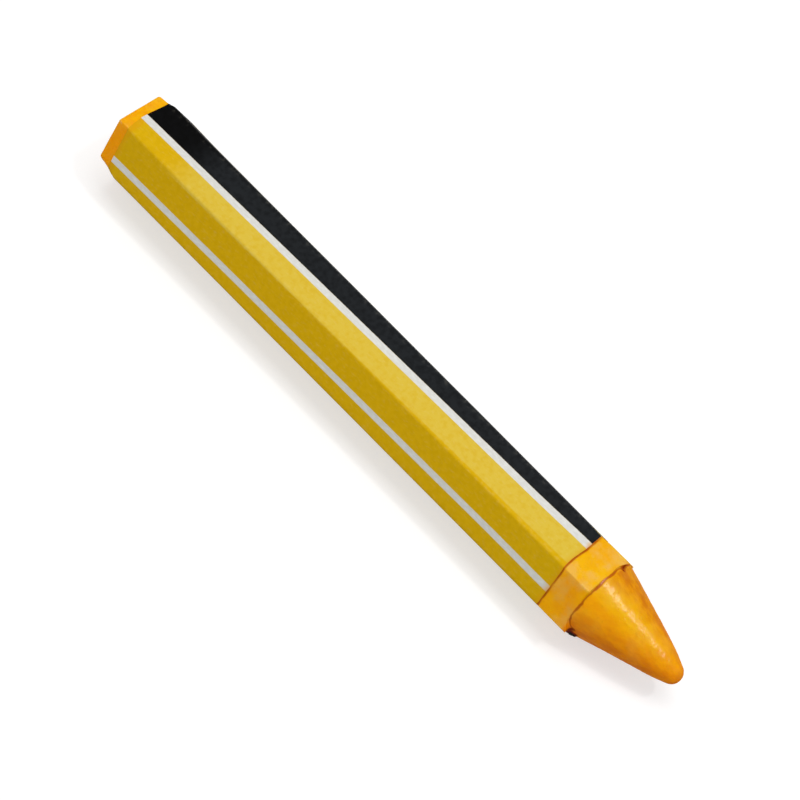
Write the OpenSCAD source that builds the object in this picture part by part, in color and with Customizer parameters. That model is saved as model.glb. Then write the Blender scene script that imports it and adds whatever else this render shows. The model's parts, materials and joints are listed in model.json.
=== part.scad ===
// Tire marking crayon: a moulded wax stick, hexagonal with a round pointed tip, in a glued paper wrapper.
// It lies on one flat of its wrapper. +X runs from the butt to the tip and +Z is up. The origin is on the
// bench, under the middle of the overall length.

/* [Wax stick] */
// Length from the butt face to the end of the nose
overall_l = 114.3; // [90:0.1:140]
// Distance across the flats of the bare wax at the butt, before it is drawn in
butt_af = 13.7; // [11:0.1:17]
// Distance across the flats of the bare wax at the shoulder, smaller so that the stick leaves its mould
shoulder_af = 12.6; // [10:0.1:16]
// How far the six long edges are rounded off, measured inwards from the sharp corner
edge_ease = 0.12; // [0.05:0.01:0.3]

/* [Butt end] */
// Bare wax left showing at the butt
rim_l = 2.2; // [1.2:0.1:8]
// How far each flat of the butt is drawn in, under the pinched end of the wrapper and beyond it
draw_in = 0.35; // [0.1:0.05:1]
// Length over which the flats are drawn in, under the end of the wrapper
draw_l = 1.6; // [0.8:0.1:4]
// Depth of the bevel round the butt face, measured in from each flat
butt_bevel = 0.3; // [0.1:0.05:1]
// Length of the bevel round the butt face, along the stick
butt_bevel_l = 0.4; // [0.1:0.05:1]

/* [Tip] */
// Length of the round tip, from the shoulder to the end of the nose
tip_l = 15.8; // [11:0.1:24]
// How far the foot of the tip stands in from the middle of each flat
shoulder_step = 0.05; // [0.05:0.01:0.6]
// Radius of the rounded end of the nose
nose_r = 1.7; // [0.8:0.05:2.2]
// Radius of the long curve that joins the straight cone to the nose
tip_curve_r = 26; // [24:1:40]
// Slope at which the long curve hands over to the nose
nose_slope = 25; // [22:0.1:32]

/* [Paper wrapper] */
// Bare hexagonal wax left showing between the wrapper and the shoulder
band_l = 4.8; // [1:0.1:12]
// Thickness of one ply of the printed paper
paper_t = 0.08; // [0.08:0.01:0.3]
// Thickness of the film of glue between the wax and the paper
glue_t = 0.02; // [0.01:0.01:0.1]
// Width of the strip where the second ply laps over the first
lap_w = 3; // [2:0.1:4]

/* [Hidden] */
$fn = 96;
WAX_COLOUR = "#f3a01c";
PAPER_COLOUR = "#d9b92e";
FLATS = 6;
FLAT_STEP = 360 / FLATS;
LAP_TURN = -2 * FLAT_STEP; // the lap lies on the back flat that faces down
CURVE_STEPS = 6;
NOSE_STEPS = 12;
RUN_OUT = 1; // how far a cutter reaches past the face it cuts through
EXTRUSION_W = 4 * butt_af; // wider than the stick in every direction
EDGE_LAG = 0.3; // keeps the breaks in the rounded edges clear of the breaks in the flats

hex_l = overall_l - tip_l;
draft = atan((butt_af - shoulder_af) / 2 / hex_l);
wrapper_grow = glue_t + paper_t;
wrapper_start = rim_l;
drawn_end = rim_l + draw_l;
wrapper_end = hex_l - band_l;

// Distance from the stick's axis to a flat of the mould's plain taper, at a station along the axis
function taper(x) = (butt_af + (shoulder_af - butt_af) * x / hex_l) / 2;

// The same distance for the bare wax where its flats are drawn in, in a straight slope
function drawn(x) = taper(x) - draw_in * (drawn_end - x) / draw_l;

// Radius that rounds off the long edges of the bare wax, drawn in with the flats but EDGE_LAG later
function edge_radius(x) = (
    taper(x) - draw_in * min(1, max(0, (drawn_end + EDGE_LAG - x) / draw_l))
) / cos(FLAT_STEP / 2) - edge_ease;

// Hexagonal bar along X, a flat on top and its six long edges eased, grown all round by grow.
// Each point of its side view above the axis is [station, distance from the axis to a flat of the bare wax].
module hex_bar(side, grow = 0) {
    last = len(side) - 1;
    above = [for (p = side) [p.x, p.y + grow]];
    below = [for (i = [0:last]) [side[last - i].x, -side[last - i].y - grow]];
    round_stations = [side[0].x, rim_l + EDGE_LAG, drawn_end + EDGE_LAG, side[last].x];
    round_side = [for (x = round_stations) [edge_radius(x) + grow, x]];
    intersection() {
        intersection_for (turn = [0:FLAT_STEP:180 - FLAT_STEP])
            rotate([turn + 90, 0, 0])
                linear_extrude(EXTRUSION_W, center = true)
                    polygon(concat(above, below));
        rotate([0, 90, 0])
            rotate_extrude()
                polygon(concat([[0, side[0].x]], round_side, [[0, side[last].x]]));
    }
}

// The tip's outline is in [radius, station], the station counted from the shoulder
tip_foot_r = taper(hex_l) - shoulder_step;
nose_centre = [0, tip_l - nose_r];
curve_centre = nose_centre - (tip_curve_r - nose_r) * [cos(nose_slope), sin(nose_slope)];
foot_to_centre = curve_centre - [tip_foot_r, 0];
cone_slope = atan2(-foot_to_centre.x, foot_to_centre.y) - asin(tip_curve_r / norm(foot_to_centre));

// Points on an arc, given by the slopes at its two ends; skip leaves out that many at its start
function arc(centre, r, from, to, steps, skip = 0) = [
    for (i = [skip:steps])
        let (slope = from + (to - from) * i / steps)
            centre + r * [cos(slope), sin(slope)]
];

tip_root_l = shoulder_step; // the cone runs on this far into the stick, still inside its flats
tip_outline = concat(
    [[0, -tip_root_l], [tip_foot_r + tip_root_l * tan(cone_slope), -tip_root_l]],
    arc(curve_centre, tip_curve_r, cone_slope, nose_slope, CURVE_STEPS),
    arc(nose_centre, nose_r, nose_slope, 90, NOSE_STEPS, skip = 1)
);

module tip() {
    translate([hex_l, 0, 0])
        rotate([0, 90, 0])
            rotate_extrude()
                polygon(tip_outline);
}

// Bare wax: the bevelled rim, the slope where it is drawn in, then the plain taper up to the shoulder
rim_apothem = drawn(rim_l);
wax_side = [
    [0, rim_apothem - butt_bevel],
    [butt_bevel_l, rim_apothem],
    [rim_l, rim_apothem],
    [drawn_end, taper(drawn_end)],
    [hex_l, taper(hex_l)]
];

// The wax under a stretch of the wrapper
function wrapped_side(from, to) = [[from, drawn(from)], [drawn_end, taper(drawn_end)], [to, taper(to)]];

// Strip of the second ply, on one flat, from end to end of the wrapper
module lap() {
    intersection() {
        hex_bar(wrapped_side(wrapper_start, wrapper_end), wrapper_grow + paper_t);
        rotate([LAP_TURN, 0, 0])
            translate([wrapper_start, -lap_w / 2, 0])
                cube([wrapper_end - wrapper_start, lap_w, butt_af]);
    }
}

// Turns a piece from the stick's own axis to its rest on the bench, with the wrapper's bottom flat at Z = 0
module at_rest() {
    back_x = -wax_side[0].y * sin(draft);
    front_x = (overall_l - nose_r) * cos(draft) + nose_r;
    translate([-(back_x + front_x) / 2, 0, (taper(0) + wrapper_grow) * cos(draft)])
        rotate([0, draft, 0])
            children();
}

module wax_stick() {
    color(WAX_COLOUR)
        at_rest()
            union() {
                hex_bar(wax_side);
                tip();
            }
}

module paper_wrapper() {
    color(PAPER_COLOUR)
        at_rest()
            difference() {
                union() {
                    hex_bar(wrapped_side(wrapper_start, wrapper_end), wrapper_grow);
                    lap();
                }
                hex_bar(wrapped_side(wrapper_start - RUN_OUT, wrapper_end + RUN_OUT), glue_t);
            }
}

wax_stick();
paper_wrapper();
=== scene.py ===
"""Tire marking crayon: the looks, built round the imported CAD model.

The crayon is a moulded wax stick in a glued wrapper of printed paper. Each of the two is one detailed mesh
that stands for its CAD node. A mesh is made in millimetres on the stick's own axis, with the butt face at
station 0 and the tip towards +X, and is then laid where the CAD model lies, in metres.

"turn" is an angle round that axis: 0 is the middle of the top flat, and it grows towards +Y.
"flat" is the distance from the axis to a flat of the hexagon, and "reach" the distance to any point.
"""

import json
import math

import bmesh
import bpy
from mathutils import Matrix, Vector, noise


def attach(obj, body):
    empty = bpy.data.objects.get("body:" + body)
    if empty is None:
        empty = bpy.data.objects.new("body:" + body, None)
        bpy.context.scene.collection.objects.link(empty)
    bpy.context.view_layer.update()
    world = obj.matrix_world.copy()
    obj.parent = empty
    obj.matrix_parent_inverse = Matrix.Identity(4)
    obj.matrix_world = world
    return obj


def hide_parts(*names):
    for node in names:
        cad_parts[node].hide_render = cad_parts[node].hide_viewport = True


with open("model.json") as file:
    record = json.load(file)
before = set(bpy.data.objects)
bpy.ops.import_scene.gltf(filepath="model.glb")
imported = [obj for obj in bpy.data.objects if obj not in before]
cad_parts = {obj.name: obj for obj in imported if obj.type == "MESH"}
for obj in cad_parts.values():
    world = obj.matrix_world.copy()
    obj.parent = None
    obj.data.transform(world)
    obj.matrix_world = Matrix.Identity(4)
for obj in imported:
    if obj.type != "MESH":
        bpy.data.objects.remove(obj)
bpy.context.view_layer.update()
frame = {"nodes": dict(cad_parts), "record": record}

MM = 0.001
FLATS = 6
FLAT_STEP = math.tau / FLATS
HALF_STEP = FLAT_STEP / 2

# ------------------------------------------------------------
# Sizes in millimetres
# ------------------------------------------------------------

# Wax stick
BUTT_FLAT = 6.82  # at the butt, before it is drawn in
SHOULDER_FLAT = 6.36
EDGE_EASE = 0.025  # how far the six long edges are rounded off, measured inwards from the sharp corner
BAND_SWELL = (0.07, 0.07, 0.07, 0.07, 0.07, 0.09)  # how far each flat of the bare band stands proud
BAND_RISE = (-0.2, 0.5)  # it rises to that between these distances past the wrapper
TIP_L = 15.8
SHOULDER_STEP = 0.04  # from the middle of each flat down to the foot of the tip
NOSE_R = 1.7
TIP_CURVE_R = 26.0
NOSE_SLOPE = math.radians(25)  # where the long curve hands over to the nose
NOSE_CLOSES = math.radians(81)  # slope at the last ring of points
TIP_BOW = 0.08  # the tip is a little fuller on one side
TIP_BOW_TURN = math.radians(62)

# Butt end, where each flat is drawn in by its own amount under the pinched end of the wrapper
DRAW_IN = (0.03, 0.24, 0.3, 0.4, 0.47, 0.05)
BUTT_SWELL = (0.0, 0.13, 0.0, 0.0, 0.0, 0.0)  # how far each flat would otherwise stand proud there
BUTT_SWELL_END = 10.0  # and the station where it no longer does
DRAW_L = 4.4  # length of the slope, for each millimetre that a flat is drawn in
DRAW_CLEAR = 0.1  # the slope begins this far before the wrapper
RIM_TAPER = 0.8  # how much further the bare rim tapers, as a share of how far its flat is drawn in
BUTT_BEVEL = 0.3  # measured in from each flat
BUTT_BEVEL_L = 0.4  # measured along the stick
BUTT_DISH = 0.05  # the wax shrinks a little as it cools in the mould

# Shoulder, where the hexagon ends in a thin ragged lip round the foot of the tip. Here and there the lip
# falls back: how far, and over how long a stretch.
LIP_ROUNDING = 0.05
LIP_WAVE = (0.09, 1.3)
LIP_RAGGED = (0.06, 0.4)

# At the six long edges, the first of them at a turn of 30 degrees, the lip runs on in an ear: how far, and
# half of how wide in degrees
LIP_EARS = ((0.6, 12), (0.1, 14), (0.3, 18), (0.3, 18), (0.95, 22), (0.12, 12))

# Crack between the lip and the tip, where it is closed and where it is wide
CRACK_DEPTH = (0.012, 0.05)
CRACK_WIDTH = (0.28, 0.46)
CRACK_PATCH = 1.9  # how far it goes on being closed or wide
CRACK_OPENS = (-0.45, 0.3)  # noise at which it is closed, and at which it is wide

# Hollows where the crack opens beside an ear: turn and half of how wide, both in degrees, how much further
# the crack reaches, and how much deeper it is
HOLLOWS = ((27.5, 2.6, 0.3, 0.08), (-97, 9, 0.9, 0.12))

# Rings of points over the ledge from the lip in to the tip, and then over the crack: the share of the way
# across it, and for the crack how shaded it is there
LEDGE_RINGS = (0, 0.3, 0.6, 0.9)
CRACK_RINGS = ((0.15, 0.5), (0.35, 0.6), (0.55, 0.6), (0.8, 0.4), (1.0, 0.06))
CRACK_DARKEST = 0.6  # the darkest of these, which is fully shaded in a hollow
CRACK_CLOSED_SHADE = 0.75  # how much of the shade is left where the crack is closed
LEDGE_HOLLOW = 0.1  # as a share of how wide the ledge is
LIP_SHADE = 0.12
LEDGE_SHADE = (0.2, 1)  # away from the hollows, and in the middle of one

# A crumb of dirt that sticks beside one ear of the lip: its place, and its half length, half width and
# height
GRIME_STATION = 1.15  # past the shoulder
GRIME_TURN = math.radians(-106)
GRIME_SIZE = (0.85, 0.9, 0.32)
GRIME_LUMPS = (0.5, 0.4)
GRIME_STEEPNESS = 1.6
GRIME_RED_SHADE = 0.4  # grime of this much is painted red shade, and of 1 is black dirt
GRIME_BLACKENS = (-1.0, 0.4)  # between these places along it, in half lengths from its middle

# The long edges are worn, with a painted highlight, this far to each side
EDGE_WEAR_AND_HIGHLIGHT_TURN = math.radians(2)

# Unevenness of the moulded wax: how high, and how far across
WAX_WAVE = (0.02, 3.2)
WAX_DIMPLE = (0.012, 0.8)
TIP_LUMPS = (0.03, 0.6)  # more of it on the tip, which was rubbed on tires
TIP_LUMPS_FROM = (0.5, 1.5)  # past the shoulder

# Waves and dimples die out under the wrapper, between these distances past its start, and come back between
# these distances past its end
UNEVEN_STOPS = (-0.1, 1.0)
UNEVEN_STARTS = (-0.6, -0.2)

# Paper wrapper
PAPER_T = 0.06
GLUE_T = 0.01
FOLD_R = 0.45
LAP_W = 3.0
LAP_TURN = 2 * FLAT_STEP  # the lap lies on the back flat that faces down
LAP_RAMP = 0.8
FREE_EDGE_W = 0.7
FREE_EDGE_LIFT = 0.07
FREE_EDGE_WAVE = 9.0  # how far along the sheet it goes on lifting more, or less
PAPER_WAVE = (0.022, 7.0)
PAPER_COCKLE = (0.008, 1.4)
WAVE_STRETCH = 2.5  # waves and cockles are this many times longer than they are wide
END_RAGGED = (0.035, 0.9)
END_L = 2.0  # length over which each end of the sheet turns ragged
SHARP_EDGE = math.radians(50)

# Each end of the sheet bulges a little towards the butt: how far, where round the sheet, and half of how
# wide
BUTT_CUT = (0.4, 3.2, 4.2)
TIP_CUT = (0.2, 1.7, 3.0)

# Shade on the wax along the tip end of the wrapper: where it is weakest and strongest, and the distances
# past the paper where it begins to fade and has gone
EDGE_SHADE = (0.35, 0.75)
EDGE_SHADE_W = (0.15, 0.45)
EDGE_SHADE_PATCH = 1.2

# The printed sheet was rolled on a little askew, so its lines drift round the stick
ROLL_SKEW = 0.0157
SKEW_STATION = 48.0
PRINT_SPREAD = 0.03  # the lines spread by this share over the last stretch before the tip end
PRINT_SPREAD_L = 12.0

# Spacing of the rings of points along the stick
FINE_RING = 0.15
FINEST_RING = 0.09
WAX_HIDDEN_RING = 6.0
PAPER_RING = 0.6
BEVEL_STEP = math.pi / 12  # round the bevel of the butt face
FINE_PAST_DRAWN = 0.5  # fine rings of the wax go on this far past its drawn slope
FINE_PAST_START = 2.4  # fine rings of the paper go on this far past its start
FINE_BEFORE_END = 1.0  # and those of both begin again this far before the end of the wrapper
FINEST_PAST_END = 0.6  # the finest rings of the wax go on this far past it

# Points round the stick. Edges of the paper's section longer than the first length are its flats, and ones
# longer than the second are the strips of its lap.
FLAT_EDGE = 2.0
LAP_EDGE = 0.6
WAX_FLAT_CUTS = 27
PAPER_FLAT_CUTS = 13
PAPER_LAP_CUTS = 3
CORNER_STEPS = 4

# The butt face grows from a small hexagon with rounded corners, through a few rings
BUTT_MIDDLE = 0.25  # size of the hexagon, as a share of the whole
BUTT_MIDDLE_CUT = 0.02  # size of its corners, as a share of its own
BUTT_RINGS = (0.5, 0.75, 0.9, 0.97)  # as shares of the way out


# ------------------------------------------------------------
# Where the crayon lies
# ------------------------------------------------------------


def mount(name):
    """A mount from the part's record."""
    return next(m for m in frame["record"]["mounts"] if m["name"] == name)


def stick_place():
    """Turns the stick's own axes, in millimetres, into the frame's, in metres."""
    butt = mount("butt_face")
    along = -Vector(butt["axis"]).normalized()
    side = Vector((0, 1, 0))
    turned = Matrix((along, side, along.cross(side))).transposed().to_4x4()
    return Matrix.Translation(butt["pos_m"]) @ turned @ Matrix.Scale(MM, 4)


STICK_PLACE = stick_place()


def ends(node):
    """Stations of the two ends of a CAD node."""
    to_stick = STICK_PLACE.inverted()
    stations = [(to_stick @ point.co).x for point in frame["nodes"][node].data.vertices]
    return min(stations), max(stations)


STICK_L = ends("wax_stick")[1]
PAPER_START, PAPER_END = ends("paper_wrapper")
HEX_L = STICK_L - TIP_L


# ------------------------------------------------------------
# Form of the stick
# ------------------------------------------------------------


def mix(low, high, share):
    return low + (high - low) * share


def smooth_share(value, low, high):
    """0 to 1 between low and high, easing in and out."""
    share = min(1, max(0, (value - low) / (high - low)))
    return share * share * (3 - 2 * share)


def share_past(station, place, between):
    """0 to 1 between two distances past a place."""
    return smooth_share(station, place + between[0], place + between[1])


def spaced(start, end, spacing):
    """Even steps from start to end, with both."""
    steps = max(1, round((end - start) / spacing))
    return [mix(start, end, step / steps) for step in range(steps + 1)]


def turn_of(point):
    return math.atan2(point.co.y, point.co.z)


def uneven(position, size, seed=0.0):
    """Smooth unevenness at a place: size is its height and how far across it is."""
    height, across = size
    return height * noise.noise(position / across + Vector((seed, 0, 0)))


def plain_flat(station):
    """Distance from the axis to a flat of the mould's plain taper."""
    return mix(BUTT_FLAT, SHOULDER_FLAT - min(BAND_SWELL), station / HEX_L)


def hexagon(turn, flats, ease=EDGE_EASE):
    """Reach of a hexagon in the direction of turn. flats are the distances from the axis to its flats, from
    the top one on."""
    closeness = sorted(math.cos(turn - FLAT_STEP * i) / flat for i, flat in enumerate(flats))
    blend_width = 4 * ease * closeness[-1] ** 2
    blended = max(0, 1 - (closeness[-1] - closeness[-2]) / blend_width)
    return 1 / (closeness[-1] + blended**2 * blend_width / 4)


def drawn_in(station, depth):
    """How far a flat stands in at a station near the butt, where depth is how far it is drawn in."""
    slope_start = PAPER_START - DRAW_CLEAR
    slope = 1 - smooth_share(station, slope_start, slope_start + DRAW_L * depth)
    return depth * (slope + RIM_TAPER * max(0, 1 - station / PAPER_START))


def bare_wax(station, turn, inward=0.0):
    """Reach of the bare hexagon, with its flats drawn in towards the butt, and less inward all round."""
    band = share_past(station, PAPER_END, BAND_RISE)
    butt = 1 - smooth_share(station, PAPER_START, BUTT_SWELL_END)
    plain = plain_flat(station) - inward
    flats = [
        plain - drawn_in(station, depth) + butt * at_butt + band * at_band
        for depth, at_butt, at_band in zip(DRAW_IN, BUTT_SWELL, BAND_SWELL)
    ]
    return hexagon(turn, flats)


# Outline of the tip as in the CAD model: a straight cone, a long curve and the rounded nose
FOOT_R = SHOULDER_FLAT - SHOULDER_STEP
NOSE_STATION = STICK_L - NOSE_R
CURVE_STATION = NOSE_STATION - (TIP_CURVE_R - NOSE_R) * math.sin(NOSE_SLOPE)
CURVE_REACH = -(TIP_CURVE_R - NOSE_R) * math.cos(NOSE_SLOPE)
FOOT_TO_CURVE = math.hypot(CURVE_STATION - HEX_L, CURVE_REACH - FOOT_R)
FOOT_BEARING = math.atan2(FOOT_R - CURVE_REACH, CURVE_STATION - HEX_L)
CONE_SLOPE = FOOT_BEARING - math.asin(TIP_CURVE_R / FOOT_TO_CURVE)
CONE_END = CURVE_STATION + TIP_CURVE_R * math.sin(CONE_SLOPE)


def cone_at(station):
    """Reach of the cone."""
    return FOOT_R - (station - HEX_L) * math.tan(CONE_SLOPE)


def curved_outline():
    """Station and reach of each ring of the tip, from the end of the cone to near the end of the nose."""
    outline = []
    for centre_station, centre_reach, radius, slopes in (
        (CURVE_STATION, CURVE_REACH, TIP_CURVE_R, (CONE_SLOPE, NOSE_SLOPE)),
        (NOSE_STATION, 0, NOSE_R, (NOSE_SLOPE, NOSE_CLOSES)),
    ):
        for slope in spaced(*slopes, FINE_RING / radius)[1:]:
            station = centre_station + radius * math.sin(slope)
            outline.append((station, centre_reach + radius * math.cos(slope)))
    return outline


def sheet_station(nominal, around_it):
    """Station of a point that is around_it millimetres round the sheet. The sheet is askew, and its two
    ends bulge and are a little ragged."""

    def bulge(size):
        far, middle, half_width = size
        return -far * max(0, 1 - ((around_it - middle) / half_width) ** 2) ** 2

    spot = Vector((around_it, 0, 0))
    near_butt = 1 - smooth_share(nominal, PAPER_START, PAPER_START + END_L)
    near_tip = smooth_share(nominal, PAPER_END - END_L, PAPER_END)
    return (
        nominal
        - ROLL_SKEW * around_it
        + near_butt * (uneven(spot, END_RAGGED, 3.1) + bulge(BUTT_CUT))
        + near_tip * (uneven(spot, END_RAGGED, 8.4) + bulge(TIP_CUT))
    )


# ------------------------------------------------------------
# Making meshes
# ------------------------------------------------------------


def extrude_ring(bm, edges, place):
    """Extrudes a ring of edges, lets place move each new point, and returns the new ring's edges."""
    made = bmesh.ops.extrude_edge_only(bm, edges=edges)["geom"]
    points = {item for item in made if isinstance(item, bmesh.types.BMVert)}
    for point in points:
        place(point)
    made_edges = [item for item in made if isinstance(item, bmesh.types.BMEdge)]
    return [edge for edge in made_edges if points.issuperset(edge.verts)]


def cut_edges(bm, longer_than, cuts, shorter_than=math.inf):
    chosen = [edge for edge in bm.edges if longer_than < edge.calc_length() < shorter_than]
    bmesh.ops.subdivide_edges(bm, edges=chosen, cuts=cuts)


def round_corners(bm, corners, offset):
    bmesh.ops.bevel(
        bm,
        geom=corners,
        offset=offset,
        segments=CORNER_STEPS,
        profile=0.5,
        affect="VERTICES",
        material=-1,
    )


def add_object(name, data):
    made = bpy.data.objects.new(name, data)
    bpy.context.scene.collection.objects.link(made)
    return made


def finish_piece(bm, name, node, materials):
    """Lays a mesh where the CAD model lies and makes it the piece that stands for a CAD node."""
    mesh = bpy.data.meshes.new(name)
    bm.to_mesh(mesh)
    bm.free()
    mesh.transform(STICK_PLACE)
    mesh.shade_smooth()
    for material in materials:
        mesh.materials.append(material)
    piece = add_object(name, mesh)
    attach(piece, "root")
    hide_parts(node)
    return piece


# ------------------------------------------------------------
# Wax stick
# ------------------------------------------------------------


def butt_rings():
    """The butt face from near its middle outwards, with a slight dish, and the rounded bevel round it."""

    def face(share):
        station = BUTT_DISH * (1 - share**2)
        return lambda turn: (station, bare_wax(0, turn, BUTT_BEVEL) * share, 0.0)

    def bevel(angle):
        station = BUTT_BEVEL_L * (1 - math.cos(angle))
        inward = BUTT_BEVEL * (1 - math.sin(angle))
        return lambda turn: (station, bare_wax(station, turn, inward), 0.0)

    for share in BUTT_RINGS:
        yield face(share)
    for angle in spaced(0, math.pi / 2, BEVEL_STEP):
        yield bevel(angle)


def side_rings():
    """The hexagon from the bevel to the shoulder, with few rings where the paper hides it."""
    hidden_from = PAPER_START + DRAW_L * max(DRAW_IN) + FINE_PAST_DRAWN
    hidden_to = PAPER_END - FINE_BEFORE_END
    finest_to = PAPER_END + FINEST_PAST_END
    last = HEX_L - 2 * (LIP_WAVE[0] + LIP_RAGGED[0] + LIP_ROUNDING)
    stations = spaced(BUTT_BEVEL_L, hidden_from, FINE_RING)[1:]
    stations += spaced(hidden_from, hidden_to, WAX_HIDDEN_RING)[1:]
    stations += spaced(hidden_to, finest_to, FINEST_RING)[1:]
    stations += spaced(finest_to, last, FINE_RING)[1:]

    def side(station):
        def section(turn):
            edge = sheet_station(PAPER_END, round_sheet_at(turn))
            strength = mix(*EDGE_SHADE, 0.5 + noise.noise(around(turn, EDGE_SHADE_PATCH)))
            shade = strength * (1 - smooth_share(station - edge, *EDGE_SHADE_W))
            return station, bare_wax(station, turn), shade if station > hidden_from else 0.0

        return section

    for station in stations:
        yield side(station)


def round_sheet_at(turn):
    """How far round the sheet a turn at its tip end is, counted from the central edge of the front."""
    past_lap = turn - math.tau if turn > LAP_TURN else turn
    return (past_lap + HALF_STEP) / FLAT_STEP * 2 * SHOULDER_FLAT * math.tan(HALF_STEP)


def around(turn, across):
    """A place on a circle, for unevenness that closes on itself round the stick."""
    return Vector((math.sin(turn), math.cos(turn), 0)) * SHOULDER_FLAT / across


def lip_at(turn):
    """Station of the lip's edge."""
    far, half_width = LIP_EARS[int(turn % math.tau // FLAT_STEP)]
    off_edge = abs(turn % FLAT_STEP - HALF_STEP) / math.radians(half_width)
    ear = far * max(0, 1 - off_edge) ** 2
    wave = LIP_WAVE[0] * (noise.noise(around(turn, LIP_WAVE[1])) - 1)
    ragged = LIP_RAGGED[0] * (noise.noise(around(turn, LIP_RAGGED[1])) - 1)
    return HEX_L + wave + ragged + ear


def hollows_at(turn):
    """0 to 1 over a hollow in the crack, and how far it reaches and how deep it is there."""
    for middle, half_width, far, deep in HOLLOWS:
        off_middle = math.remainder(turn - math.radians(middle), math.tau) / math.radians(half_width)
        share = max(0, 1 - off_middle**2)
        if share:
            return share, share * far, share * deep
    return 0.0, 0.0, 0.0


def crack_at(turn):
    """How open the crack at the foot of the tip is: 0 closed, 1 wide."""
    return smooth_share(noise.noise(around(turn, CRACK_PATCH) + Vector((0, 0, 4.7))), *CRACK_OPENS)


def crack_end(turn):
    """Station where the crack meets the cone."""
    return lip_at(turn) + mix(*CRACK_WIDTH, crack_at(turn)) + hollows_at(turn)[1]


def shoulder_rings():
    """The lip, the ledge that shows at each corner, and the crack round the foot of the tip."""

    def lip(back, inward):
        return lambda turn: (lip_at(turn) - back, bare_wax(HEX_L, turn) - inward, LIP_SHADE)

    def ledge(share):
        def section(turn):
            edge = bare_wax(HEX_L, turn) - LIP_ROUNDING
            foot = cone_at(max(lip_at(turn), HEX_L))
            hollow = LEDGE_HOLLOW * math.sin(math.pi * share) * (edge - foot)
            return lip_at(turn) - hollow, mix(edge, foot, share), mix(*LEDGE_SHADE, hollows_at(turn)[0])

        return section

    def crack(share, darkness):
        def section(turn):
            opening = crack_at(turn)
            in_hollow, _, deeper = hollows_at(turn)
            station = mix(lip_at(turn), crack_end(turn), share)
            depth = (mix(*CRACK_DEPTH, opening) + deeper) * math.sin(math.pi * share)
            shade = darkness * mix(CRACK_CLOSED_SHADE, 1, opening)
            shade = mix(shade, darkness / CRACK_DARKEST, in_hollow)
            return station, cone_at(max(station, HEX_L)) - depth, shade

        return section

    yield lip(LIP_ROUNDING, 0.0)
    yield lip(LIP_ROUNDING / 3, LIP_ROUNDING / 3)
    for share in LEDGE_RINGS:
        yield ledge(share)
    for share, darkness in CRACK_RINGS:
        yield crack(share, darkness)


def cone_rings():
    """The straight cone, from the crack to where the long curve begins."""

    def cone(share):
        def section(turn):
            station = mix(crack_end(turn), CONE_END, share)
            return station, cone_at(max(station, HEX_L)), 0.0

        return section

    for share in spaced(0, 1, FINE_RING / (CONE_END - HEX_L))[1:]:
        yield cone(share)


def nose_rings():
    """The long curve and the rounded nose."""
    for station, reach in curved_outline():
        yield lambda turn, station=station, reach=reach: (station, reach, 0.0)


def bare_share(station):
    """1 where the wax is bare, 0 where the paper lies on it."""
    past_start = share_past(station, PAPER_START, UNEVEN_STOPS)
    past_end = share_past(station, PAPER_END, UNEVEN_STARTS)
    return 1 - past_start * (1 - past_end)


def grime_and_shade_at(station, turn):
    """0 off the crumb of dirt and up to 1 over its middle, and how black it is: less so beside the lip,
    where it is painted red shade.
    """
    along = (station - HEX_L - GRIME_STATION) / GRIME_SIZE[0]
    across = math.remainder(turn - GRIME_TURN, math.tau) * SHOULDER_FLAT / GRIME_SIZE[1]
    lumpy = uneven(Vector((station, turn * SHOULDER_FLAT, 0)), GRIME_LUMPS)
    share = min(1, max(0, GRIME_STEEPNESS * (1 + lumpy - along**2 - across**2)))
    return share, share * smooth_share(along, *GRIME_BLACKENS)


def bow_at(station):
    """How far the tip leans out at a station, in the direction of TIP_BOW_TURN."""
    return TIP_BOW * math.sin(math.pi * min(1, max(0, (station - HEX_L) / TIP_L)))


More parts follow.
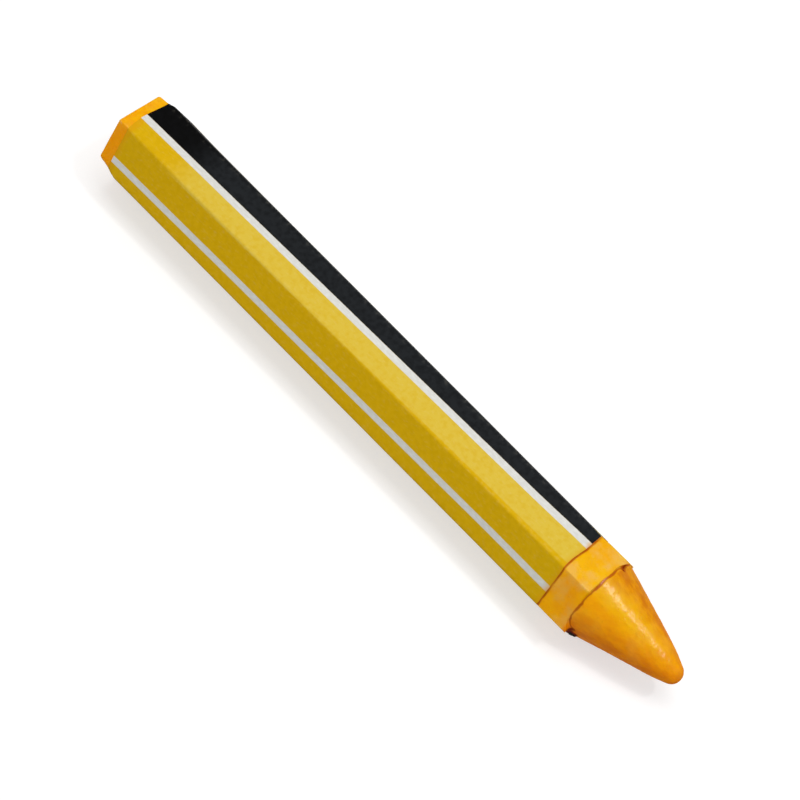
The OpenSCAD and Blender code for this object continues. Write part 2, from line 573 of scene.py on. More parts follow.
def make_wax_stick(material):
    """Extrudes rings of points one from another, from the butt face to the end of the nose."""
    bm = bmesh.new()
    painted_shade = bm.verts.layers.float.new("painted_shade")
    grime_and_shade = bm.verts.layers.float.new("grime_and_shade")
    edge = bm.verts.layers.float.new("edge")
    turns = bm.verts.layers.float.new("turn")
    along_x = Matrix.Rotation(math.pi / 2, 4, "Y")
    middle = BUTT_MIDDLE * BUTT_FLAT
    radius = middle / math.cos(HALF_STEP)
    bmesh.ops.create_circle(bm, cap_ends=True, segments=FLATS, radius=radius, matrix=along_x)
    round_corners(bm, bm.verts[:], BUTT_MIDDLE_CUT * middle)
    cut_edges(bm, middle / 2, WAX_FLAT_CUTS)
    bmesh.ops.translate(bm, verts=bm.verts[:], vec=(BUTT_DISH, 0, 0))
    for point in bm.verts:
        point[turns] = turn_of(point)

    bow = Vector((0, math.sin(TIP_BOW_TURN), math.cos(TIP_BOW_TURN)))

    def placed_by(section):
        def place(point):
            turn = point[turns]
            # each section gives a station, a reach, and the painted shade there, which is no depth
            station, reach, depth = section(turn)
            outwards = Vector((0, math.sin(turn), math.cos(turn)))
            spot = Vector((station, 0, 0)) + outwards * reach
            height = bare_share(station) * (uneven(spot, WAX_WAVE) + uneven(spot, WAX_DIMPLE, 9.3))
            height += share_past(station, HEX_L, TIP_LUMPS_FROM) * uneven(spot, TIP_LUMPS, 4.4)
            dirt, blackness = grime_and_shade_at(station, turn)
            height += dirt * GRIME_SIZE[2]
            point.co = spot + outwards * height + bow * bow_at(station)
            point[painted_shade] = depth
            # painted red shade over the crumb beside the lip, black dirt towards its far end
            point[grime_and_shade] = GRIME_RED_SHADE * dirt + (1 - GRIME_RED_SHADE) * blackness
            off_edge = abs(turn % FLAT_STEP - HALF_STEP)
            point[edge] = float(off_edge < EDGE_WEAR_AND_HIGHLIGHT_TURN and station < HEX_L)

        return place

    edges = bm.edges[:]
    for rings in (butt_rings(), side_rings(), shoulder_rings(), cone_rings(), nose_rings()):
        for section in rings:
            edges = extrude_ring(bm, edges, placed_by(section))
    nose_end = bmesh.ops.contextual_create(bm, geom=edges)["faces"]
    poked = bmesh.ops.poke(bm, faces=nose_end)
    poked["verts"][0].co = STICK_L, 0, 0
    bmesh.ops.recalc_face_normals(bm, faces=bm.faces[:])
    piece = finish_piece(bm, "wax_body", "wax_stick", [material])


# ------------------------------------------------------------
# Paper wrapper
# ------------------------------------------------------------


def on_flat(flat_turn, flat, along):
    """Point of the section on one flat, along being counted from the flat's middle."""
    outwards = Vector((0, math.sin(flat_turn), math.cos(flat_turn)))
    onwards = Vector((0, math.cos(flat_turn), -math.sin(flat_turn)))
    return outwards * flat + onwards * along


def rolled_section(flat):
    """Corner points of the rolled sheet, from its edge under the lap once round to its free edge."""
    ply = PAPER_T + GLUE_T
    points = [on_flat(LAP_TURN, flat, -LAP_W / 2)]
    for corner in range(FLATS):
        turn = LAP_TURN + HALF_STEP + corner * FLAT_STEP
        points.append(Vector((0, math.sin(turn), math.cos(turn))) * flat / math.cos(HALF_STEP))
    points.append(on_flat(LAP_TURN, flat, -LAP_W / 2 - LAP_RAMP))
    points.append(on_flat(LAP_TURN, flat + ply, -LAP_W / 2))
    points.append(on_flat(LAP_TURN, flat + ply, LAP_W / 2 - FREE_EDGE_W))
    points.append(on_flat(LAP_TURN, flat + ply, LAP_W / 2))
    return points


def paper_stations():
    """Distances along the sheet, close together at its two ends."""
    coarse_from = PAPER_START + FINE_PAST_START
    coarse_to = PAPER_END - FINE_BEFORE_END
    stations = spaced(PAPER_START, coarse_from, FINE_RING)
    stations += spaced(coarse_from, coarse_to, PAPER_RING)[1:]
    stations += spaced(coarse_to, PAPER_END, FINE_RING)[1:]
    return stations


def draw_section(bm, flat):
    """The section of the rolled sheet, with its corners rounded into folds."""
    points = [bm.verts.new(spot) for spot in rolled_section(flat)]
    for pair in zip(points, points[1:]):
        bm.edges.new(pair)
    round_corners(bm, points[1 : FLATS + 1], FOLD_R * math.tan(HALF_STEP))
    cut_edges(bm, FLAT_EDGE, PAPER_FLAT_CUTS)
    cut_edges(bm, LAP_EDGE, PAPER_LAP_CUTS, FLAT_EDGE)


def walk_round(bm):
    """The points of the section in order, from the inner edge of the sheet to its free edge."""
    loose_ends = [point for point in bm.verts if len(point.link_edges) == 1]
    walk = [min(loose_ends, key=lambda point: point.co.length)]
    while True:
        onward = [edge.other_vert(walk[-1]) for edge in walk[-1].link_edges]
        onward = [point for point in onward if point not in walk[-2:]]
        if not onward:
            return walk
        walk.append(onward[0])


def lay_print(bm, round_sheet, base_flat):
    """Gives every point its place on the print: its station, and how far round the sheet it is there."""
    label = bm.loops.layers.uv.new("label")
    for face in bm.faces:
        for loop in face.loops:
            point = loop.vert
            station = point.co.x
            real_round = point[round_sheet] * (plain_flat(station) + GLUE_T + PAPER_T) / base_flat
            spread = 1 + PRINT_SPREAD * smooth_share(station, PAPER_END - PRINT_SPREAD_L, PAPER_END)
            loop[label].uv = station, real_round / spread - ROLL_SKEW * (station - SKEW_STATION)


def make_paper_wrapper(printed, unprinted):
    """Extrudes the section of the rolled sheet along the stick, prints it and gives it its thickness."""
    bm = bmesh.new()
    base_flat = BUTT_FLAT + GLUE_T + PAPER_T
    base = bm.verts.layers.float_vector.new("base")
    round_sheet = bm.verts.layers.float.new("round_sheet")
    folds = bm.verts.layers.float.new("fold")
    free_edge = bm.verts.layers.float.new("free_edge")
    turns = bm.verts.layers.float.new("turn")

    draw_section(bm, base_flat)
    for point in bm.verts:
        off_edge = abs(turn_of(point) % FLAT_STEP - HALF_STEP)
        point[folds] = float(off_edge < FOLD_R / base_flat)

    walk = walk_round(bm)
    far = 0.0
    for before, point in zip(walk, walk[1:]):
        far += (point.co - before.co).length
        point[round_sheet] = far
    on_folds = [point for point in walk if point[folds] > 0]
    central = min(on_folds, key=lambda point: abs(turn_of(point) + HALF_STEP))[round_sheet]
    for point in walk:
        point[base] = point.co.copy()
        point[turns] = turn_of(point)
        point[round_sheet] -= central
        point[free_edge] = smooth_share(point[round_sheet] + central, far - FREE_EDGE_W, far)

    def placed_at(nominal):
        def place(point):
            spot = point[base]
            station = sheet_station(nominal, point[round_sheet])
            wax = bare_wax(min(station, PAPER_END + BAND_RISE[0]), point[turns])
            plain_wax = hexagon(point[turns], [BUTT_FLAT] * FLATS)
            grown = (wax + GLUE_T + PAPER_T) / (plain_wax + GLUE_T + PAPER_T)
            outwards = Vector((0, spot.y, spot.z)).normalized()
            wave_spot = Vector((station / WAVE_STRETCH, spot.y, spot.z))
            wave = uneven(wave_spot, PAPER_WAVE) + uneven(wave_spot, PAPER_COCKLE, 5.5)
            more_or_less = noise.noise(Vector((station / FREE_EDGE_WAVE, 2.2, 0)))
            lift = point[free_edge] * FREE_EDGE_LIFT * (1 + more_or_less)
            point.co = Vector((station, spot.y * grown, spot.z * grown)) + outwards * (wave + lift)

        return place

    stations = paper_stations()
    start_place = placed_at(stations[0])
    edges = bm.edges[:]
    for point in bm.verts:
        start_place(point)
    for nominal in stations[1:]:
        edges = extrude_ring(bm, edges, placed_at(nominal))

    bmesh.ops.recalc_face_normals(bm, faces=bm.faces[:])
    outside = sum(face.normal.dot(face.calc_center_median() * Vector((0, 1, 1))) for face in bm.faces)
    if outside < 0:
        bmesh.ops.reverse_faces(bm, faces=bm.faces[:])
    lay_print(bm, round_sheet, base_flat)

    outer_faces = set(bm.faces)
    bmesh.ops.solidify(bm, geom=bm.faces[:], thickness=PAPER_T)
    for face in bm.faces:
        face.material_index = 0 if face in outer_faces else 1
    for edge in bm.edges:
        edge.smooth = edge.calc_face_angle(0) < SHARP_EDGE
    piece = finish_piece(bm, "paper_label", "paper_wrapper", [printed, unprinted])


# ------------------------------------------------------------
# Materials
# ------------------------------------------------------------


def colour(hex_value):
    """sRGB hex to linear RGBA."""
    channels = [int(hex_value[i : i + 2], 16) / 255 for i in (1, 3, 5)]
    return (*[c / 12.92 if c <= 0.04045 else ((c + 0.055) / 1.055) ** 2.4 for c in channels], 1.0)


# Settings of nodes
SMOOTH = {"interpolation_type": "SMOOTHSTEP"}
TONES = {"data_type": "RGBA"}
SEEDED = {"noise_dimensions": "4D"}  # W is the seed
PLUS = {"operation": "ADD"}
MINUS = {"operation": "SUBTRACT"}
TIMES = {"operation": "MULTIPLY"}
LARGER = {"operation": "MAXIMUM"}
LENGTH = {"operation": "LENGTH"}


def add(tree, kind, settings=None, *inputs, **named_inputs):
    """Adds a node. settings are its properties. inputs go to its sockets in use, in order, and named inputs
    to the socket of that name, with _ for a space. Each is a node or a socket to link, a plain value, or a
    colour as a hex value."""
    made = tree.nodes.new("ShaderNode" + kind)
    for name, value in (settings or {}).items():
        setattr(made, name, value)
    pairs = list(zip([socket for socket in made.inputs if socket.enabled], inputs))
    pairs += [(made.inputs[name.replace("_", " ")], value) for name, value in named_inputs.items()]
    for socket, value in pairs:
        if isinstance(value, bpy.types.Node):
            value = next(result for result in value.outputs if result.enabled)
        if isinstance(value, bpy.types.NodeSocket):
            tree.links.new(value, socket)
        else:
            socket.default_value = colour(value) if isinstance(value, str) else value
    return made


def new_material(name):
    material = bpy.data.materials.new(name)
    material.use_nodes = True
    material.node_tree.nodes.clear()
    return material, material.node_tree


def millimetres(tree):
    """Object coordinates in millimetres."""
    place = add(tree, "TexCoord").outputs["Object"]
    return add(tree, "Mapping", Vector=place, Scale=(1 / MM, 1 / MM, 1 / MM))


# Where the tip end of the wrapper and the shoulder are, in millimetres on the frame's own X
PAPER_END_X = (STICK_PLACE @ Vector((PAPER_END, 0, 0))).x / MM
SHOULDER_X = (STICK_PLACE @ Vector((HEX_L, 0, 0))).x / MM

# Tones of the wax: most are a pair that it drifts between
TIP_BACK_WAX = ("#D47800", "#E89600")  # the tip, darker at its back: painted shade
TIP_HIGHLIGHT_WAX = ("#F0B000", "#F6BC00")  # the top of the tip, yellower under the highlight: painted highlight
TIP_FRONT_WAX = ("#F8A400", "#FCAE00")  # the front of the tip, brighter: painted light
TIP_UNDERSIDE_SHADE = ("#E87600", "#F88C00")  # low down on the tip: painted shade
BAND_WAX = ("#F3AC00", "#F8BA00")
FRONT_SHADE_WAX = ("#FAA400", "#FFB200")  # the front flat of the band, tinted warmer: painted shade
RIM_WAX = ("#FAA800", "#FFB800")  # the bare rim at the butt
# the front flat of the rim, tinted as painted shade
RIM_FRONT_SHADE_WAX = "#FFA200"
BLOOM = "#EFBA58"
# pale along the long edges: partly wear, partly a painted highlight
WORN_EDGE_AND_HIGHLIGHT = "#F9D08C"
SPECKS = "#C97C0C"
SHADE = "#BC6000"
DEEP_SHADE = "#8C2C04"
# red painted shade beside the lip, on the crumb of dirt
PAINTED_RED_SHADE = "#7A2405"
BLACK_GRIME = "#15110F"

# The wax changes from its front, the -Y side, to its back, in painted light and shade. Each of these is how
# far from the middle of the stick, in millimetres towards the front, a change begins and ends.
BACK_TO_TOP_OF_TIP = (-2.0, 1.4)  # from the darker back of the tip to its top with the painted highlight
TOP_TO_FRONT_OF_TIP = (1.8, 4.0)  # from there to its front, brighter as painted light
FRONT_FLAT = (3.3, 4.3)  # to the front flat, on the band and the rim, which is tinted as painted shade
TIP_SIDES_SPREAD = 0.1  # the first two lie this much further back for each millimetre towards the nose

# Heights above the bench between which the painted shade on the underside of the tip fades
UNDERSIDE = (5.2, 11.4)

# Strength of the bloom on the tip and on the band, and how much of it the front flat, with its painted
# shade tone, keeps
BLOOM_SHARE = (0.1, 0.7)
BLOOM_FRONT = 0.6

# Roughness of the wax: smoothest and roughest, and how much rougher the band is
WAX_ROUGH = (0.4, 0.5)
BAND_ROUGHER = 0.15

# Where the wax turns from rim to band, out of sight under the wrapper, and from band to tip: distances past
# the tip end of the wrapper, and past the shoulder
BAND_BEGINS = (-1.0, 0.0)
TIP_BEGINS = (-0.2, 0.6)

# Patterns in the wax, in millimetres: how far across one cloud, smear, patch, grain or pit is
CLOUDS = 3.0
SMEARS = 1.2
SMEAR_STRETCH = (0.5, 1, 1)  # smears are drawn out along the stick
BLOOM_CLOUDS = 2.2
WORN_AND_HIGHLIGHT_PATCHES = 0.9
FINE_GRAIN = 0.45
PITS = 0.35
FINE_GRAIN_DEPTH = 0.025
PIT_DEPTH = 0.02


def tip_tone(tree, along, across, height, smears):
    """Colour of the tip: orange, tinted by painted light and shade: yellower on top as a painted highlight,
    brighter in front, darker at the back and browner low down.
    """
    past_shoulder = add(tree, "Math", MINUS, along, SHOULDER_X)
    spread = add(tree, "Math", TIMES, past_shoulder, TIP_SIDES_SPREAD)
    towards_front = add(tree, "Math", MINUS, spread, across)
    back_tone = add(tree, "Mix", TONES, smears, *TIP_BACK_WAX)
    highlight_tone = add(tree, "Mix", TONES, smears, *TIP_HIGHLIGHT_WAX)
    painted_light = add(tree, "Mix", TONES, smears, *TIP_FRONT_WAX)
    underside_shade = add(tree, "Mix", TONES, smears, *TIP_UNDERSIDE_SHADE)
    in_front = add(tree, "MapRange", SMOOTH, towards_front, *TOP_TO_FRONT_OF_TIP)
    bright = add(tree, "Mix", TONES, in_front, highlight_tone, painted_light)
    off_back = add(tree, "MapRange", SMOOTH, towards_front, *BACK_TO_TOP_OF_TIP)
    tone = add(tree, "Mix", TONES, off_back, back_tone, bright)
    low_down = add(tree, "MapRange", SMOOTH, height, *UNDERSIDE, 1.0, 0.0)
    return add(tree, "Mix", TONES, low_down, tone, underside_shade)


def add_dirt_and_painted_shade(tree, tone, fine):
    """Darkens the wax in its specks, with painted shade in its crevices, and on its crumb of dirt, with
    painted red shade beside the lip. Each row is what a darker tone follows, the values between which it
    comes in, and at times its strength at both of them."""
    painted_shade = add(tree, "Attribute", {"attribute_name": "painted_shade"}).outputs["Fac"]
    grime_and_shade = add(tree, "Attribute", {"attribute_name": "grime_and_shade"}).outputs["Fac"]
    for value, from_to, darker in (
        (fine, (0.55, 0.8, 0.0, 0.25), SPECKS),
        (painted_shade, (0.0, 0.6), SHADE),
        (painted_shade, (0.65, 1.0), DEEP_SHADE),
        (grime_and_shade, (0.05, 0.35), PAINTED_RED_SHADE),
        (grime_and_shade, (0.4, 0.75), BLACK_GRIME),
    ):
        share = add(tree, "MapRange", SMOOTH, value, *from_to)
        tone = add(tree, "Mix", TONES, share, tone, darker)
    return tone


def pigmented_wax():
    """Paraffin wax with yellow pigment, cast in a mould: slightly see-through, and satin under a thin polish.
    The bare band has a pale bloom, and the tip is smeared by handling. Painted light and shade tint the tip
    and the front flats by side, the crevices have painted shade, and a crumb of dirt sticks by the lip."""
    material, tree = new_material("pigmented_wax")
    place = millimetres(tree)
    along, across, height = add(tree, "SeparateXYZ", Vector=place).outputs

    from_paper = add(tree, "MapRange", SMOOTH, along, *[PAPER_END_X + past for past in BAND_BEGINS])
    on_tip = add(tree, "MapRange", SMOOTH, along, *[SHOULDER_X + past for past in TIP_BEGINS])
    on_band = add(tree, "Math", MINUS, from_paper, on_tip)
    towards_front = add(tree, "Math", TIMES, across, -1.0)
    # the front flats get a painted shade tone and less bloom
    front = add(tree, "MapRange", SMOOTH, towards_front, *FRONT_FLAT)

    clouds = add(tree, "TexNoise", SEEDED, Vector=place, Scale=1 / CLOUDS, Detail=3.0)
    clouds = add(tree, "MapRange", SMOOTH, clouds, 0.35, 0.65)
    lengthways = add(tree, "Mapping", Vector=place, Scale=SMEAR_STRETCH)
    smears = add(
        tree, "TexNoise", SEEDED, Vector=lengthways, W=15.0, Scale=1 / SMEARS, Detail=3.0, Roughness=0.6
    )
    smears = add(tree, "MapRange", SMOOTH, smears, 0.36, 0.64)
    fine = add(tree, "TexNoise", SEEDED, Vector=place, W=2.0, Scale=1 / FINE_GRAIN, Detail=3.0)

    band = add(tree, "Mix", TONES, clouds, *BAND_WAX)
    band_front_shade = add(tree, "Mix", TONES, clouds, *FRONT_SHADE_WAX)
    band = add(tree, "Mix", TONES, front, band, band_front_shade)
    rim = add(tree, "Mix", TONES, smears, *RIM_WAX)
    rim = add(tree, "Mix", TONES, front, rim, RIM_FRONT_SHADE_WAX)
    tone = add(tree, "Mix", TONES, on_band, tip_tone(tree, along, across, height, smears), band)
    tone = add(tree, "Mix", TONES, from_paper, rim, tone)

    bloom = add(tree, "TexNoise", SEEDED, Vector=place, W=5.0, Scale=1 / BLOOM_CLOUDS, Detail=4.0)
    bloom = add(tree, "MapRange", SMOOTH, bloom, 0.44, 0.66)
    for where, from_to in ((on_band, BLOOM_SHARE), (front, (1.0, BLOOM_FRONT))):
        strength = add(tree, "MapRange", SMOOTH, where, 0.0, 1.0, *from_to)
        bloom = add(tree, "Math", TIMES, bloom, strength)
    tone = add(tree, "Mix", TONES, bloom, tone, BLOOM)
    # pale patches along the long edges: partly wear, partly a painted highlight
    edge = add(tree, "Attribute", {"attribute_name": "edge"}).outputs["Fac"]
    patches = add(tree, "TexNoise", SEEDED, Vector=place, W=11.0, Scale=1 / WORN_AND_HIGHLIGHT_PATCHES, Detail=3.0)
    patches = add(tree, "MapRange", SMOOTH, patches, 0.52, 0.75, 0.0, 0.5)
    tone = add(tree, "Mix", TONES, add(tree, "Math", TIMES, edge, patches), tone, WORN_EDGE_AND_HIGHLIGHT)
    tone = add_dirt_and_painted_shade(tree, tone, fine)

    pits = add(tree, "TexNoise", SEEDED, Vector=place, W=7.0, Scale=1 / PITS, Detail=2.0)
    pits = add(tree, "MapRange", SMOOTH, pits, 0.3, 0.42)
    normal = add(tree, "Bump", Height=fine, Distance=FINE_GRAIN_DEPTH * MM)
    normal = add(tree, "Bump", Height=pits, Distance=PIT_DEPTH * MM, Normal=normal)
    rough = add(tree, "MapRange", SMOOTH, clouds, 0.0, 1.0, *WAX_ROUGH)
    rougher = add(tree, "MapRange", SMOOTH, on_band, 0.0, 1.0, 0.0, BAND_ROUGHER)
    wax = add(
        tree,
        "BsdfPrincipled",
        Base_Color=tone,
        Roughness=add(tree, "Math", PLUS, rough, rougher),
        Normal=normal,
        IOR=1.44,
        Specular_IOR_Level=0.0,
        Coat_Weight=0.08,
        Coat_Roughness=0.27,
        Coat_IOR=1.8,
        Coat_Normal=normal,
        Subsurface_Weight=0.3,
        Subsurface_Radius=(0.9, 0.5, 0.08),
        Subsurface_Scale=1.2 * MM,
    )
    add(tree, "OutputMaterial", Surface=wax)
    return material


# The print, in millimetres round the sheet from the central edge between the two flats that face the front
WHITE_LINES = ((3.5, 4.63), (-5.4, -4.36), (14.6, 15.8))
BLACK_BAND = (4.63, 14.6)
INK_EDGE = 0.05
INK_FEATHER = 0.08

# Tones of the sheet: some are a pair that it drifts between
YELLOW_INK = ("#DAAD08", "#DFB20E")
BLACK_INK = ("#070707", "#0B0B0C")
WHITE_PAPER = ("#DBDAD4", "#E5E5E0")
SHEEN_ON_YELLOW = "#E0C043"
SHEEN_ON_BLACK = "#2E3134"
FIBRES = "#EAD9A0"
WAX_STAIN = "#E2A310"
WORN_FOLD = "#E6DFC8"
BARE_PAPER = "#E2C870"
BACK_PAPER = ("#EA9210", "#F4A420")

# Patterns in the sheet, in millimetres. Real fibres are about a tenth of this across, and real ink bleeds
# about as little. They are drawn this coarse so that they show.
INK_BLEED = 0.3
FIBRE = 0.35
FIBRE_STRETCH = (0.4, 1, 1)  # the fibres lie along the stick
BACK_FIBRE = 0.3
FIBRE_DEPTH = 0.01
MOTTLE = 0.8  # unevenness of the ink

# Painted sheen and wear of the print, in millimetres along the stick or round the sheet
SHEEN_FROM = (9.0, 17.0)  # a painted sheen pales the ink from here on along the stick
SHEEN_FADE = 2.0  # past the far fold
FAR_FOLD = 7.2  # round the sheet, the fold on the far side of the top flat
STAIN_W = 1.3  # the wax soaks in at both ends, over this width
BUTT_STAIN = 0.75
TIP_STAIN = 0.7

# A patch at the tip end, just over the far fold, where the black is worn off
BARE_PATCH = 92.9  # where it begins along the stick, at the fold
BARE_SLANT = 0.6  # and how much nearer the butt for each millimetre round the sheet
BARE_RAGGED = 0.6
BARE_TO = 11.5  # round the sheet
BARE_EDGE = 0.12


def bare_patch(tree, station, across, feather, mottle):
    """1 over the patch where the black is worn off."""
    for shift, size in ((across, BARE_SLANT), (feather, BARE_RAGGED)):
        station = add(tree, "Math", PLUS, station, add(tree, "Math", TIMES, shift, size))
    bare_from = BARE_PATCH + BARE_SLANT * FAR_FOLD
    bare = add(tree, "MapRange", SMOOTH, station, bare_from - BARE_EDGE, bare_from + BARE_EDGE)
    past_fold = add(tree, "MapRange", SMOOTH, across, FAR_FOLD - 0.15, FAR_FOLD)
    bare = add(tree, "Math", TIMES, bare, past_fold)
    ragged = add(tree, "Math", PLUS, across, add(tree, "Math", TIMES, mottle, 4 * BARE_RAGGED))
    ends = add(tree, "MapRange", SMOOTH, ragged, BARE_TO, BARE_TO + 0.3, 1.0, 0.0)
    return add(tree, "Math", TIMES, bare, ends)


def painted_sheen(tree, station, across, mottle):
    """0 to 1 where a painted sheen pales the ink on the top flat."""
    painted_light = add(tree, "MapRange", SMOOTH, station, *SHEEN_FROM)
    for value, from_to in (
        (across, (-0.15, 0.15)),
        (across, (FAR_FOLD, FAR_FOLD + SHEEN_FADE, 1.0, 0.0)),
        (mottle, (0.3, 0.6, 0.6, 1.0)),
    ):
        share = add(tree, "MapRange", SMOOTH, value, *from_to)
        painted_light = add(tree, "Math", TIMES, painted_light, share)
    return painted_light


def printed_paper():
    """Uncoated label paper, litho printed in yellow and black with white lines left bare: matt, with the
    grain of its fibres showing through the ink. A painted sheen pales the ink on the top flat, the ink is
    worn thin along the folds and worn off in one patch, and the wax stains it at both ends."""
    material, tree = new_material("printed_label_paper")
    uv = add(tree, "UVMap", {"uv_map": "label"})
    station, round_sheet, _ = add(tree, "SeparateXYZ", Vector=uv).outputs
    feather = add(tree, "TexNoise", SEEDED, Vector=uv, W=3.0, Scale=1 / INK_BLEED, Detail=2.0)
    feather = add(tree, "Math", MINUS, feather, 0.5)
    across = add(tree, "Math", PLUS, round_sheet, add(tree, "Math", TIMES, feather, INK_FEATHER))

    def field(low, high):
        begins = add(tree, "MapRange", SMOOTH, across, low - INK_EDGE, low + INK_EDGE)
        stops = add(tree, "MapRange", SMOOTH, across, high - INK_EDGE, high + INK_EDGE)
        return add(tree, "Math", MINUS, begins, stops)

    lengthways = add(tree, "Mapping", Vector=uv, Scale=FIBRE_STRETCH)
    fibres = add(tree, "TexNoise", SEEDED, Vector=lengthways, Scale=1 / FIBRE, Detail=4.0)
    mottle = add(tree, "TexNoise", SEEDED, Vector=uv, W=1.0, Scale=1 / MOTTLE, Detail=4.0)
    painted_light = painted_sheen(tree, station, across, mottle)
    stain_edge = add(tree, "Math", PLUS, station, add(tree, "Math", TIMES, mottle, STAIN_W))
    stain_ends = PAPER_START + 0.5 * STAIN_W, PAPER_START + 1.5 * STAIN_W
    butt_stain = add(tree, "MapRange", SMOOTH, stain_edge, *stain_ends, BUTT_STAIN, 0.0)
    stain_begins = PAPER_END - 0.3 * STAIN_W, PAPER_END + 0.7 * STAIN_W
    tip_stain = add(tree, "MapRange", SMOOTH, stain_edge, *stain_begins, 0.0, TIP_STAIN)

    drift = add(tree, "MapRange", SMOOTH, mottle, 0.35, 0.65)
    yellow = add(tree, "Mix", TONES, drift, *YELLOW_INK)
    # a painted sheen pales the yellow on the top flat
    yellow = add(tree, "Mix", TONES, painted_light, yellow, SHEEN_ON_YELLOW)
    showing = add(tree, "MapRange", SMOOTH, fibres, 0.5, 0.8, 0.0, 0.12)
    yellow = add(tree, "Mix", TONES, showing, yellow, FIBRES)
    yellow = add(tree, "Mix", TONES, butt_stain, yellow, WAX_STAIN)
    white = add(tree, "Mix", TONES, add(tree, "MapRange", SMOOTH, fibres, 0.4, 0.7), *WHITE_PAPER)
    black = add(tree, "Mix", TONES, add(tree, "MapRange", SMOOTH, mottle, 0.35, 0.7), *BLACK_INK)
    # the painted sheen greys the black on the top flat too
    black = add(tree, "Mix", TONES, add(tree, "Math", TIMES, painted_light, 0.55), black, SHEEN_ON_BLACK)
    lines = field(*WHITE_LINES[0])
    for line in WHITE_LINES[1:]:
        lines = add(tree, "Math", PLUS, lines, field(*line))
    tone = add(tree, "Mix", TONES, lines, yellow, white)
    tone = add(tree, "Mix", TONES, tip_stain, tone, WAX_STAIN)
    tone = add(tree, "Mix", TONES, field(*BLACK_BAND), tone, black)

    fold = add(tree, "Attribute", {"attribute_name": "fold"}).outputs["Fac"]
    thin = add(tree, "MapRange", SMOOTH, mottle, 0.5, 0.75, 0.0, 0.04)
    tone = add(tree, "Mix", TONES, add(tree, "Math", TIMES, fold, thin), tone, WORN_FOLD)
    tone = add(tree, "Mix", TONES, bare_patch(tree, station, across, feather, mottle), tone, BARE_PAPER)

    paper = add(
        tree,
        "BsdfPrincipled",
        Base_Color=tone,
        Roughness=0.6,
        Normal=add(tree, "Bump", Height=fibres, Distance=FIBRE_DEPTH * MM),
        IOR=1.5,
        Specular_IOR_Level=0.02,
    )
    add(tree, "OutputMaterial", Surface=paper)
    return material


def unprinted_paper():
    """The back and cut edges of the label paper: matt, and stained orange by the wax that soaks in."""
    material, tree = new_material("unprinted_label_paper")
    fibres = add(tree, "TexNoise", SEEDED, Vector=millimetres(tree), Scale=1 / BACK_FIBRE, Detail=4.0)
    drift = add(tree, "MapRange", SMOOTH, fibres, 0.35, 0.7)
    paper = add(
        tree,
        "BsdfPrincipled",
        Base_Color=add(tree, "Mix", TONES, drift, *BACK_PAPER),
        Roughness=0.8,
        Normal=add(tree, "Bump", Height=fibres, Distance=FIBRE_DEPTH * MM),
        IOR=1.5,
        Specular_IOR_Level=0.15,
    )
    add(tree, "OutputMaterial", Surface=paper)
    return material


# ------------------------------------------------------------
# Studio
# ------------------------------------------------------------


WHITE = "#FFFFFF"


def seen_share(tree):
    """1 for what the camera sees, straight, mirrored or through glass, and 0 for light on other things."""
    rays = add(tree, "LightPath").outputs
    mirrored = add(tree, "Math", LARGER, rays["Is Camera Ray"], rays["Is Glossy Ray"])
    return add(tree, "Math", LARGER, mirrored, rays["Is Transmission Ray"])


FLOOR_REACH = 4.0  # metres each way
FLOOR_GREY = (0.5, 0.5, 0.5, 1)
FLOOR_LIFT = (0.58, 0.76)  # near the crayon, and out where the lamps no longer reach
FLOOR_FADE = (0.12, 1.0)  # between these distances from the crayon, in metres


def make_floor():
    """Paper sweep. What the camera sees of it is lifted to white, and it keeps the crayon's shadow."""
    material, tree = new_material("white_sweep")
    place = add(tree, "TexCoord").outputs["Object"]
    away = add(tree, "VectorMath", LENGTH, place)
    level = add(tree, "MapRange", SMOOTH, away, *FLOOR_FADE, *FLOOR_LIFT)
    lit = add(tree, "BsdfDiffuse", Color=FLOOR_GREY)
    lift = add(tree, "Emission", Color=WHITE, Strength=add(tree, "Math", TIMES, seen_share(tree), level))
    add(tree, "OutputMaterial", Surface=add(tree, "AddShader", None, lit, lift))
    bm = bmesh.new()
    bmesh.ops.create_grid(bm, x_segments=1, y_segments=1, size=FLOOR_REACH)
    mesh = bpy.data.meshes.new("floor")
    bm.to_mesh(mesh)
    bm.free()
    mesh.materials.append(material)
    floor = add_object("floor", mesh)


ROOM_LEVEL = 0.5


def make_room():
    """Even surroundings, seen as white, that light things with ROOM_LEVEL of it."""
    world = bpy.data.worlds.new("studio")
    world.use_nodes = True
    tree = world.node_tree
    tree.nodes.clear()
    strength = add(tree, "Math", LARGER, seen_share(tree), ROOM_LEVEL)
    room = add(tree, "Background", Color=WHITE, Strength=strength)
    add(tree, "OutputWorld", Surface=room)
    bpy.context.scene.world = world


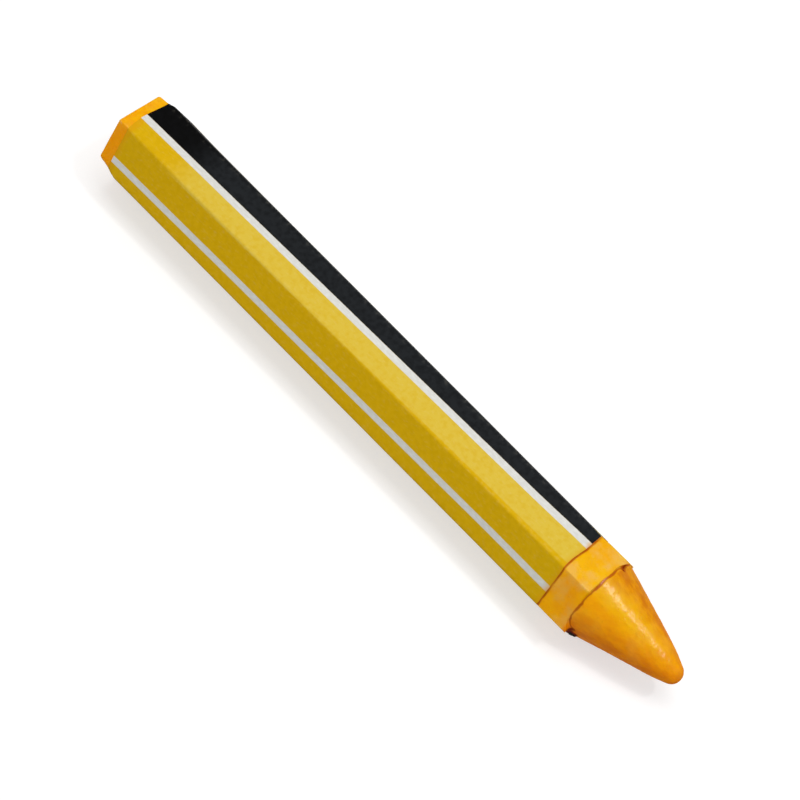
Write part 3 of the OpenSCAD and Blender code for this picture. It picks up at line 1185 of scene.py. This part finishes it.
# Lamps: place and size in metres, and how light each alone makes a white surface that faces it
OVERHEAD = ((0.0, 0.04, 0.6), (0.42, 0.24), 0.37)
KEY = ((0.26, 0.12, 0.6), (0.065, 0.055), 0.17)
GLINT = ((0.26, 0.105, 0.6), (0.05, 0.05), 0.6)  # seen only as a gleam on the wax, and lights nothing


def make_softbox(name, place, size, level, lights=True):
    """A soft box that faces the crayon. Without lights it is only seen as a gleam."""
    light = bpy.data.lights.new(name, "AREA")
    light.shape = "RECTANGLE"
    light.size, light.size_y = size
    place = Vector(place)
    light.energy = level * (math.pi * place.length) ** 2
    softbox = add_object(name, light)
    softbox.matrix_world = Matrix.Translation(place) @ place.to_track_quat("Z", "Y").to_matrix().to_4x4()
    softbox.visible_diffuse = lights


# Camera: the tip is towards it, and it is rolled so that the crayon lies from corner to corner
CAMERA_AZIMUTH = math.radians(33.9)
CAMERA_ELEVATION = math.radians(57.47)
CAMERA_ROLL = math.radians(15.48)
CAMERA_DISTANCE = 0.3011
CAMERA_AIM = Vector((1.56, -0.28, 6.93)) * MM
SENSOR = 36.0
LENS = 95.54
CLIP_START = 0.01


def make_camera():
    camera = bpy.data.cameras.new("camera")
    camera.sensor_width = SENSOR
    camera.lens = LENS
    camera.clip_start = CLIP_START
    tilt = Matrix.Rotation(math.pi / 2 - CAMERA_ELEVATION, 4, "X")
    turned = Matrix.Rotation(CAMERA_AZIMUTH, 4, "Z") @ tilt @ Matrix.Rotation(CAMERA_ROLL, 4, "Z")
    back = turned @ Vector((0, 0, 1))
    viewer = add_object("camera", camera)
    viewer.matrix_world = Matrix.Translation(CAMERA_AIM + back * CAMERA_DISTANCE) @ turned
    bpy.context.scene.camera = viewer


# ------------------------------------------------------------
# The scene
# ------------------------------------------------------------

bpy.context.scene.view_settings.view_transform = "Standard"
make_camera()
make_room()
make_softbox("overhead", *OVERHEAD)
make_softbox("key", *KEY)
make_softbox("glint", *GLINT, lights=False)
make_floor()
make_wax_stick(pigmented_wax())
make_paper_wrapper(printed_paper(), unprinted_paper())
